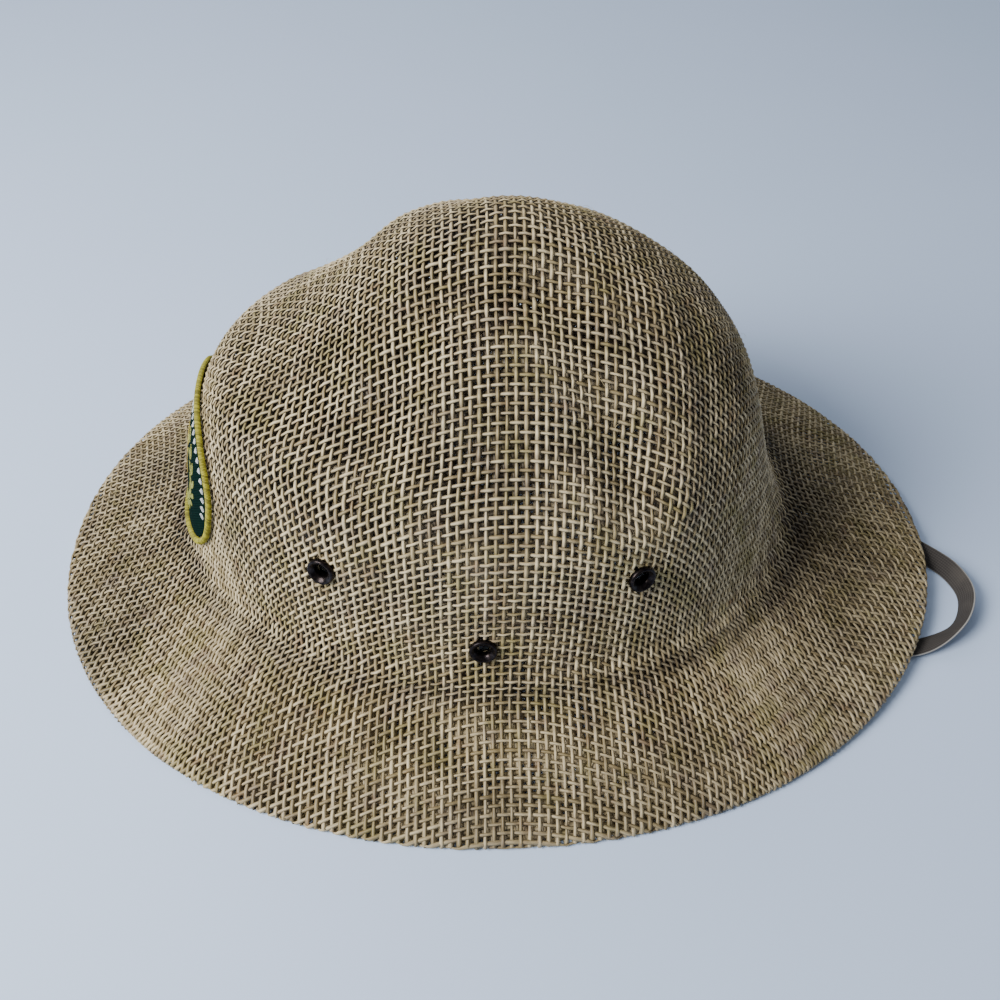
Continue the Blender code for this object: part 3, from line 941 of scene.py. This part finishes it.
def star_halves():
    """Ends of the satin stitches of a star: the left halves of its points, and the right halves."""
    sides = {1: [], -1: []}
    for number in range(STAR_POINTS):
        turn = number * math.tau / STAR_POINTS
        length = STAR_LONG if number % 2 == 0 else STAR_SHORT
        count = int(length / STITCH_PITCH)
        share = (np.arange(count) + 0.5)[:, None] / count
        half = np.minimum(share * STAR_FLARE, 1 - share) * STAR_WIDTH / 2 / STAR_WIDEST
        axis = share * length * towards(turn)
        for side, found in sides.items():
            found.append((axis, axis + side * half * towards(turn + math.pi / 2)))
    return [joined(found) for found in sides.values()]


def sprigs():
    """Ends of the satin stitches of two sprigs of leaves that curve round the star."""
    found = []
    for side in (1, -1):
        for turn in np.radians(np.linspace(-SPRIG_TURN, SPRIG_TURN, LEAF_PAIRS)):
            stem = towards(turn) * (side * SPRIG_WIDTH, SPRIG_HEIGHT)
            lean = math.atan2(SPRIG_HEIGHT * math.cos(turn), -side * SPRIG_WIDTH * math.sin(turn))
            for edge in (1, -1):
                centre = stem + LEAF_SHIFT * towards(lean + edge * LEAF_SHIFT_TURN)
                found.append(leaf(centre, lean + edge * LEAF_LEAN, LEAF_LENGTH, LEAF_WIDTH, LEAF_STITCHES))
    return joined(found)


def edge_lozenges():
    """Ends of the satin stitches of an arc of small lozenges inside the border."""
    path = np.stack(patch_outline(np.linspace(0, math.tau, 2000), LOZENGE_INSET), -1)
    way = way_along(path)
    count = round(way[-1] / LOZENGE_SPACING)
    found = []
    for number in range(count):
        at = number * way[-1] / count
        centre, beyond = (
            np.array([np.interp(place, way, column) for column in path.T]) for place in (at, at + 1e-4)
        )
        if centre[1] < LOZENGE_LOWEST:
            continue
        across, up = beyond - centre
        turn = math.atan2(up, across) + math.pi / 2
        found.append(leaf(centre, turn, LOZENGE_LENGTH, LOZENGE_WIDTH, LOZENGE_STITCHES))
    return joined(found)


def make_motif(thread_maker):
    """The patch's embroidery: a two-toned star between two sprigs, under an arc of pale lozenges."""
    gold = silk_material("gold_silk", (0.30, 0.22, 0.03), (0.62, 0.50, 0.11))
    bronze = silk_material("bronze_silk", (0.12, 0.085, 0.016), (0.27, 0.20, 0.05))
    leaf_green = silk_material("leaf_silk", (0.13, 0.14, 0.022), (0.34, 0.34, 0.085))
    white = silk_material("white_silk", (0.30, 0.32, 0.30), (0.66, 0.68, 0.66))
    left, right = star_halves()
    shapes = {
        "star_light": (left, gold), "star_dark": (right, bronze),
        "sprigs": (sprigs(), leaf_green), "lozenges": (edge_lozenges(), white),
    }
    share = np.linspace(0, 1, 5)
    for number, (name, ((starts, ends), silk)) in enumerate(shapes.items()):
        flat = starts[:, None] * (1 - share)[:, None] + ends[:, None] * share[:, None]
        arch = STITCH_HEIGHT * (np.sin(math.pi * share) - STITCH_SINK)
        lift = 2 * GAP + PATCH_THICKNESS + arch + 0 * flat[..., 0]
        points, normals = patch_point(flat[..., 0], flat[..., 1], lift)
        shade = np.random.default_rng(STITCH_SEED + number).uniform(0, 1, len(flat))
        stitches = even_threads(points, normals, shade)
        piece = spun("patch_" + name, stitches, thread_maker, silk, *STITCH_THREAD)
        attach(piece, "root")


def strap_end(side):
    """The end of the strap on the left (-1) or the right (1), flat against the inside of the crown."""
    place = place_at(STRAP_END_Z)
    point, normal = outside_and_normals(place, -side * turn_at(place, np.asarray(STRAP_END_X)))
    point = point - normal * (WALL + GAP + STRAP_THICKNESS / 2)
    return StrapPoint(*point, -math.degrees(math.asin(normal[2])))


def strap_line(count):
    """Points along the whole strap, and its lean at each, evenly spaced from its left end to its right."""
    route = (strap_end(-1), *STRAP_ROUTE, strap_end(1))
    fine = smooth_through(route, np.linspace(0, len(route) - 1, 2000))
    lying = (STRAP_WIDTH - STRAP_THICKNESS) / 2 * np.cos(np.radians(fine[:, 3])) + STRAP_THICKNESS / 2
    fine[:, 2] = np.maximum(fine[:, 2], lying)
    length = way_along(fine[:, :3])
    even = np.linspace(0, length[-1], count)
    return np.stack([np.interp(even, length, column) for column in fine.T], -1), length[-1]


def make_strap(elastic):
    """The flat elastic, with the ribs that its rubber cores make."""
    line, length = strap_line(STRAP_RINGS)
    middle, lean = line[:, :3], np.radians(line[:, 3])[:, None]
    along = unit(np.gradient(middle, axis=0))
    upright = unit(np.array((0.0, 0, 1)) - along * along[:, 2:])
    aside = np.cross(along, upright)
    edge = upright * np.cos(lean) + aside * np.sin(lean)
    face = np.cross(along, edge)
    across = np.linspace(-1, 1, 4 * STRAP_RIBS + 1)
    rounded = np.sqrt(np.clip(1 - np.abs(across) ** STRAP_SQUARENESS, 0, 1))
    ribbed = 1 - STRAP_RIB_DEPTH * (1 - np.cos(across * math.pi * STRAP_RIBS))
    ribs = STRAP_THICKNESS / 2 * rounded * ribbed
    width = np.concatenate((across, across[-2:0:-1])) * STRAP_WIDTH / 2
    height = np.concatenate((ribs, -ribs[-2:0:-1]))
    rings = middle[:, None] + edge[:, None] * width[:, None] + face[:, None] * height[:, None]
    mesh = rings_mesh("chin_elastic", rings, capped=True)
    spot = np.zeros(rings.shape)
    spot[..., 0] = np.linspace(0, length, STRAP_RINGS)[:, None]
    spot[..., 1] = width
    add_attribute(mesh, "spot", spot)
    made = add_piece("chin_elastic", mesh, elastic)
    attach(made, "root")
    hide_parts("chin_strap")


# Materials

class Signal:
    """A value in a material: arithmetic on it adds Math nodes."""

    def __init__(self, shader, socket):
        self.shader = shader
        self.socket = socket

    def maths(self, operation, *values):
        return self.shader.add("ShaderNodeMath", {"operation": operation}, dict(enumerate(values)))

    def __add__(self, other):
        return self.maths("ADD", self, other)

    def __radd__(self, other):
        return self.maths("ADD", other, self)

    def __sub__(self, other):
        return self.maths("SUBTRACT", self, other)

    def __mul__(self, other):
        return self.maths("MULTIPLY", self, other)

    def sine(self):
        return self.maths("SINE", self)

    def size(self):
        return self.maths("ABSOLUTE", self)

    def between(self, low, high):
        """0 below low, 1 above high and smooth between."""
        return self.shader.add(
            "ShaderNodeMapRange", {"interpolation_type": "SMOOTHSTEP"},
            {"Value": self, "From Min": low, "From Max": high},
        )


class Shader:
    """A material with one Principled shader, and short ways to add other nodes."""

    def __init__(self, name, constants):
        self.material = bpy.data.materials.new(name)
        self.material.use_nodes = True
        self.tree = self.material.node_tree
        self.surface = self.tree.nodes["Principled BSDF"]
        for socket, value in constants.items():
            self.surface.inputs[socket].default_value = value

    def add(self, kind, settings=None, sockets=None, out=0):
        return Signal(self, add_node(self.tree, kind, settings, sockets).outputs[out])

    def attribute(self, name, out="Fac"):
        return self.add("ShaderNodeAttribute", {"attribute_name": name}, out=out)

    def part(self, vector, axis):
        return self.add("ShaderNodeSeparateXYZ", sockets={"Vector": vector}, out=axis)

    def place(self):
        return self.add("ShaderNodeTexCoord", out="Object")

    def noise(self, vector, scale, detail=2.0, roughness=0.5):
        sockets = {"Vector": vector, "Scale": scale, "Detail": detail, "Roughness": roughness}
        return self.add("ShaderNodeTexNoise", {"noise_dimensions": "3D"}, sockets)

    def shifted(self, vector, offset, scale=(1, 1, 1)):
        return self.add(
            "ShaderNodeVectorMath", {"operation": "MULTIPLY_ADD"}, {0: vector, 1: scale, 2: offset}
        )

    def mix(self, factor, one, two):
        """One colour at 0, the other at 1."""
        sockets = {0: factor}
        for number, colour in ((6, one), (7, two)):
            sockets[number] = colour if isinstance(colour, Signal) else (*colour, 1.0)
        return self.add("ShaderNodeMix", {"data_type": "RGBA"}, sockets, out=2)

    def bump(self, height, distance, strength=1.0):
        return self.add(
            "ShaderNodeBump", sockets={"Height": height, "Distance": distance, "Strength": strength}
        )

    def finish(self, **links):
        """Feeds the shader's sockets, named in small letters, and gives the material."""
        for socket, value in links.items():
            feed(self.tree, self.surface.inputs[socket.replace("_", " ").title()], value)
        return self.material


def straw_material(name, outward, inward):
    """Twisted paper straw, mottled with age, with painted shade in the hollows, under crossing threads and
    in creases. The two numbers say how dark the painted shade of the hollows makes its side that faces out
    of the hat, and its side that faces in."""
    straw = Shader(name, {"Specular IOR Level": 0.5})
    place = straw.place()
    shade, wear_and_shade = straw.attribute("shade"), straw.attribute("wear_and_shade")
    along = straw.attribute("along")
    around = straw.attribute("around", "Vector")
    pale, khaki, brown = (0.75, 0.605, 0.350), (0.34, 0.255, 0.115), (0.034, 0.020, 0.010)
    olive, mauve, rust = (0.34, 0.28, 0.095), (0.27, 0.195, 0.15), (0.26, 0.125, 0.055)
    stains = (
        (olive, (0, 0, 0), 95.0, (0.50, 0.68), 0.65),
        (mauve, (1.7, 0.3, 0.9), 120.0, (0.52, 0.70), 0.45),
        (rust, (0.2, 2.1, 1.4), 170.0, (0.58, 0.74), 0.45),
    )
    lane = straw.add("ShaderNodeCombineXYZ", sockets={"X": along * 260.0, "Z": shade * 900.0})
    fibre_place = straw.shifted(around, lane, (3.0, 3.0, 3.0))
    fibres = straw.noise(fibre_place, 1.0, 3.0, 0.65)
    twist = straw.noise(straw.shifted(around, lane, (1.0, 1.0, 1.0)), 0.35, 2.0)
    colour = straw.mix((shade * 0.75 + twist * 0.55).between(0.25, 0.95), khaki, pale)
    for stain, offset, scale, limits, strength in stains:
        spots = straw.noise(straw.shifted(place, offset), scale, 3.0).between(*limits)
        colour = straw.mix(spots * strength, colour, stain)
    grime = straw.noise(straw.shifted(place, (3.1, 1.1, 0.4)), 30.0, 3.0, 0.6).between(0.35, 0.75) * 0.20
    # Painted shade: darker in the hollows, on the side of each thread that the two numbers name, where a
    # thread passes under another and in creases; the fibres, grime, dust and stains are the straw's own
    # marks
    low_side = straw.part(around, "X").between(0.42, -0.30)
    sides = (low_side * (inward - outward) + outward) * straw.attribute("hollow")
    hollows = sides + straw.attribute("deep") * 0.40 + 0.02
    dirt_and_shade = (fibres.between(0.62, 0.30) * 0.30 + wear_and_shade * 0.8 + grime + hollows).between(0.0, 1.25)
    colour = straw.mix(dirt_and_shade, colour, brown)
    height = fibres * 0.6 + twist * 0.4
    rough = 0.38 + fibres * 0.30
    return straw.finish(base_color=colour, roughness=rough, normal=straw.bump(height, 0.0002, 0.8))


def metal_material():
    """Dark brown lacquer over metal, dulled and scratched."""
    metal = Shader("lacquered_metal", {"Metallic": 0.85})
    place = metal.place()
    mark = metal.noise(place, 900.0, 4.0, 0.6)
    lacquer, scratched = (0.006, 0.004, 0.005), (0.030, 0.021, 0.018)
    colour = metal.mix(mark.between(0.35, 0.75), lacquer, scratched)
    rough = 0.18 + metal.noise(place, 420.0, 3.0) * 0.26
    return metal.finish(base_color=colour, roughness=rough, normal=metal.bump(mark, 0.00004, 0.5))


def green_cloth_material():
    """Dark green twill of fine thread."""
    cloth = Shader("green_twill", {"Roughness": 1.0, "Specular IOR Level": 0.02})
    flat = cloth.attribute("flat", "Vector")
    lines = cloth.add(
        "ShaderNodeTexWave", {"wave_type": "BANDS", "bands_direction": "DIAGONAL", "wave_profile": "SIN"},
        {"Vector": flat, "Scale": 520.0, "Distortion": 0.6, "Detail": 1.0, "Detail Scale": 2.0}, out=1,
    )
    fuzz = cloth.noise(flat, 2600.0, 2.0)
    tone = cloth.noise(flat, 160.0, 3.0)
    deep, green, faded = (0.0007, 0.0055, 0.0045), (0.003, 0.014, 0.011), (0.006, 0.018, 0.012)
    colour = cloth.mix(lines * 0.6 + fuzz * 0.4, deep, green)
    colour = cloth.mix(tone.between(0.55, 0.8) * 0.4, colour, faded)
    return cloth.finish(base_color=colour, normal=cloth.bump(lines * 0.7 + fuzz * 0.3, 0.00012, 0.9))


def silk_material(name, dark, light):
    """Shiny embroidery thread, streaked along its fibres."""
    silk = Shader(name, {"Specular IOR Level": 0.25})
    along, shade = silk.attribute("along"), silk.attribute("shade")
    around = silk.attribute("around", "Vector")
    lane = silk.add("ShaderNodeCombineXYZ", sockets={"X": along * 500.0, "Z": shade * 700.0})
    streaks = silk.noise(silk.shifted(around, lane, (6.0, 6.0, 6.0)), 1.0, 2.0)
    # Painted shade on each stitch's sides and on its side that faces the cloth
    low_side = silk.part(around, "X").between(0.45, 0.05)
    colour = silk.mix((streaks * 0.7 + shade * 0.5 - low_side * 0.6).between(0.1, 0.9), dark, light)
    rough = 0.45 + streaks * 0.2
    return silk.finish(base_color=colour, roughness=rough, normal=silk.bump(streaks, 0.00005, 0.6))


def elastic_material():
    """Grey woven elastic: ribs along it, fine cross threads between them, lighter on the high parts, dust,
    and pale edges that are partly a paler selvedge and partly painted highlight.
    """
    elastic = Shader("woven_elastic", {"Roughness": 0.9, "Specular IOR Level": 0.2})
    spot = elastic.attribute("spot", "Vector")
    along, across = elastic.part(spot, "X"), elastic.part(spot, "Y")
    picks = (along * (math.tau / PICK_SPACING)).sine() * 0.5 + 0.5
    ribs = (across * (math.tau * STRAP_RIBS / STRAP_WIDTH) + math.pi / 2).sine() * 0.5 + 0.5
    fuzz = elastic.noise(spot, 1800.0, 3.0, 0.6)
    dust = elastic.noise(spot, 90.0, 3.0)
    height = ribs * 0.5 + picks * 0.3 + fuzz * 0.2
    # The body's dark colours are the elastic's own grey and also painted shade for the hat's shadow on the
    # strap
    rubber, grey = (0.026, 0.022, 0.020), (0.078, 0.069, 0.062)
    dusty, pale = (0.10, 0.088, 0.074), (0.36, 0.345, 0.32)
    colour = elastic.mix(height, rubber, grey)
    colour = elastic.mix(dust.between(0.45, 0.75) * 0.5, colour, dusty)
    # Pale edges: a paler selvedge and painted highlight where light catches the edges
    selvedge_and_highlight = across.size().between(0.455 * STRAP_WIDTH, 0.485 * STRAP_WIDTH)
    colour = elastic.mix(selvedge_and_highlight, colour, pale)
    return elastic.finish(base_color=colour, normal=elastic.bump(height, 0.0002, 0.8))


def floor_material():
    """The pale, plain floor."""
    floor = Shader("pale_floor", {"Roughness": 0.7})
    tone = floor.noise(floor.place(), 6.0, 2.0)
    cool, pale = (0.56, 0.68, 0.89), (0.59, 0.71, 0.92)
    return floor.finish(base_color=floor.mix(tone, cool, pale))


# The straw

def make_straw(frames, thread_maker, top, under):
    """All threads of both plies, each set as one or two pieces."""
    reach = FOLD_REACH + math.pi * (HEM_DEPTH - OUTER_DEPTH) / 2 + HEM_WIDTH
    outer = lay_cloth(OUTER_GRAIN, CLOTH_PITCH, reach)
    inner = lay_cloth(INNER_GRAIN, INNER_PITCH, FOLD_REACH - INNER_INSET)
    cloths = {
        "upright": (outer, top),
        "level": (outer.transpose(1, 0, 2), top),
        "inner_upright": (inner, under),
        "inner_level": (inner.transpose(1, 0, 2), under),
    }
    for name, (cloth, straw) in cloths.items():
        kind = THREAD_SETS[name]
        threads = threads_of(cloth, kind, frames)
        for number, rows in enumerate(np.array_split(np.arange(len(cloth)), kind.pieces)):
            some = Threads(*(table[rows] for table in threads))
            label = f"straw_{name}_{number + 1}"
            piece = spun(label, some, thread_maker, straw, kind.width, kind.thickness)
            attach(piece, "root")
            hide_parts("hat_shell")


def make_loose_fibres(thread_maker, straw):
    """A few broken fibres that stand off the straw."""
    random = np.random.default_rng(FIBRE_SEED)
    reach = FOLD_REACH * np.sqrt(random.uniform(0.02, 1, FIBRE_COUNT))
    turn = random.uniform(0, math.tau, FIBRE_COUNT)
    foot = reach[:, None] * towards(turn)
    lie = random.uniform(0, math.tau, FIBRE_COUNT)
    bend = random.uniform(-FIBRE_BEND, FIBRE_BEND, FIBRE_COUNT)
    length = random.uniform(*FIBRE_LENGTHS, FIBRE_COUNT)
    share = np.linspace(0, 1, 7)
    way = lie[:, None] + bend[:, None] * share
    plan = foot[:, None] + (length[:, None] * share)[..., None] * towards(way)
    points, normals = skin(plan * np.minimum(1, FOLD_REACH / np.linalg.norm(plan, axis=-1, keepdims=True)))
    rise = (length * random.uniform(*FIBRE_RISES, FIBRE_COUNT))[:, None] * np.sin(share * 2.6)
    points = points + normals * rise[..., None]
    plump = (1 - FIBRE_TAPER * share) * random.uniform(0.7, 1.3, FIBRE_COUNT)[:, None]
    fibres = even_threads(points, normals, random.uniform(0.4, 1, FIBRE_COUNT), plump)
    piece = spun("loose_fibres", fibres, thread_maker, straw, *FIBRE_SIZE)
    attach(piece, "root")


def make_border(thread_maker):
    """The patch's edge: a core wound over with slanting stitches."""
    radius = BORDER_DIAMETER / 2
    gold = silk_material("border_silk", (0.10, 0.085, 0.005), (0.42, 0.38, 0.035))
    count = BORDER_STITCHES
    angles = np.arange(count) * math.tau / count
    way = way_along(np.stack(patch_outline(angles, radius), -1))
    angles = np.interp(np.linspace(0, way[-1], count), way, angles)
    line, normal = patch_point(*patch_outline(angles, radius), np.full(count, radius + GAP))
    along = unit(np.roll(line, -1, 0) - np.roll(line, 1, 0))
    outward = np.cross(along, normal)

    def round_line(turns):
        return normal[:, None] * np.sin(turns)[:, None] + outward[:, None] * np.cos(turns)[:, None]

    turns = np.arange(BORDER_CORE_FACETS) * math.tau / BORDER_CORE_FACETS
    core = line[:, None] + BORDER_CORE * radius * round_line(turns)
    piece = add_piece("patch_edge_core", rings_mesh("patch_edge_core", core, along_closed=True), gold)
    for label in ("shade", "along"):
        piece.data.attributes.new(label, "FLOAT", "POINT")
    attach(piece, "root")
    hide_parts("patch_border")
    normals = round_line(np.linspace(-BORDER_TUCK, math.pi + BORDER_TUCK, 7))
    slant = np.linspace(-BORDER_SLANT, BORDER_SLANT, 7)[:, None]
    points = line[:, None] + BORDER_WINDING * radius * normals + along[:, None] * slant
    shade = np.random.default_rng(BORDER_SEED).uniform(0, 1, count)
    stitches = even_threads(points, normals, shade)
    stitched = spun("patch_edge_stitches", stitches, thread_maker, gold, *BORDER_THREAD, facets=5)
    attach(stitched, "root")


# The setting

def add_camera():
    data = bpy.data.cameras.new("photo_camera")
    data.lens = LENS
    data.sensor_width = SENSOR
    data.clip_start = 0.01
    camera = bpy.data.objects.new("photo_camera", data)
    bpy.context.scene.collection.objects.link(camera)
    look = Vector((
        math.sin(CAMERA_YAW) * math.cos(CAMERA_PITCH),
        math.cos(CAMERA_YAW) * math.cos(CAMERA_PITCH),
        -math.sin(CAMERA_PITCH),
    ))
    level = Vector((math.cos(CAMERA_YAW), -math.sin(CAMERA_YAW), 0))
    upright = level.cross(look)
    right = level * math.cos(CAMERA_ROLL) + upright * math.sin(CAMERA_ROLL)
    up = upright * math.cos(CAMERA_ROLL) - level * math.sin(CAMERA_ROLL)
    camera.matrix_world = Matrix.Translation(CAMERA_PLACE) @ Matrix((right, up, -look)).transposed().to_4x4()
    bpy.context.scene.camera = camera


def add_floor():
    mesh = bpy.data.meshes.new("floor")
    corners = [(x * FLOOR_REACH, y * FLOOR_REACH, 0) for x, y in ((-1, -1), (1, -1), (1, 1), (-1, 1))]
    mesh.from_pydata(corners, [], [(0, 1, 2, 3)])
    floor = add_piece("floor", mesh, floor_material())
    floor.location.z = FLOOR_HEIGHT


def add_light(name, place, target, size, power, colour):
    data = bpy.data.lights.new(name, "AREA")
    data.shape = "SQUARE"
    data.size = size
    data.energy = power
    data.color = colour
    light = bpy.data.objects.new(name, data)
    light.location = place
    light.rotation_euler = (Vector(target) - Vector(place)).to_track_quat("-Z", "Y").to_euler()
    bpy.context.scene.collection.objects.link(light)


def add_lights():
    """A window at the left, a weaker light from behind and the room's soft light."""
    add_light(
        "window", place=(-0.85, -0.35, 0.72), target=(0, 0, 0.03), size=0.55, power=25.0,
        colour=(0.98, 0.99, 1.0),
    )
    add_light(
        "room_back", place=(-0.3, 1.3, 1.1), target=(0, 0, 0.05), size=1.2, power=7.0,
        colour=(0.90, 0.95, 1.0),
    )
    world = bpy.data.worlds.new("room")
    bpy.context.scene.world = world
    world.use_nodes = True
    background = world.node_tree.nodes["Background"]
    background.inputs["Color"].default_value = (0.84, 0.90, 1.0, 1)
    background.inputs["Strength"].default_value = 0.30


def main():
    add_camera()
    make_strap(elastic_material())
    add_floor()
    add_lights()
    frames = eyelet_places()
    metal = metal_material()
    for node, matrix in frames.items():
        make_eyelet(node, matrix, metal)
    thread_maker = thread_tree()
    # Painted shade inside the hat: the outer ply's threads are darker on the side that faces in, the inner
    # ply's on the side that faces out, where it is seen through the outer ply's holes
    straw = straw_material("straw", outward=0.0, inward=0.70)
    inner_straw = straw_material("inner_straw", outward=0.62, inward=0.12)
    make_straw(frames, thread_maker, straw, inner_straw)
    make_patch_field(green_cloth_material())
    make_border(thread_maker)
    make_motif(thread_maker)
    make_loose_fibres(thread_maker, straw)


main()
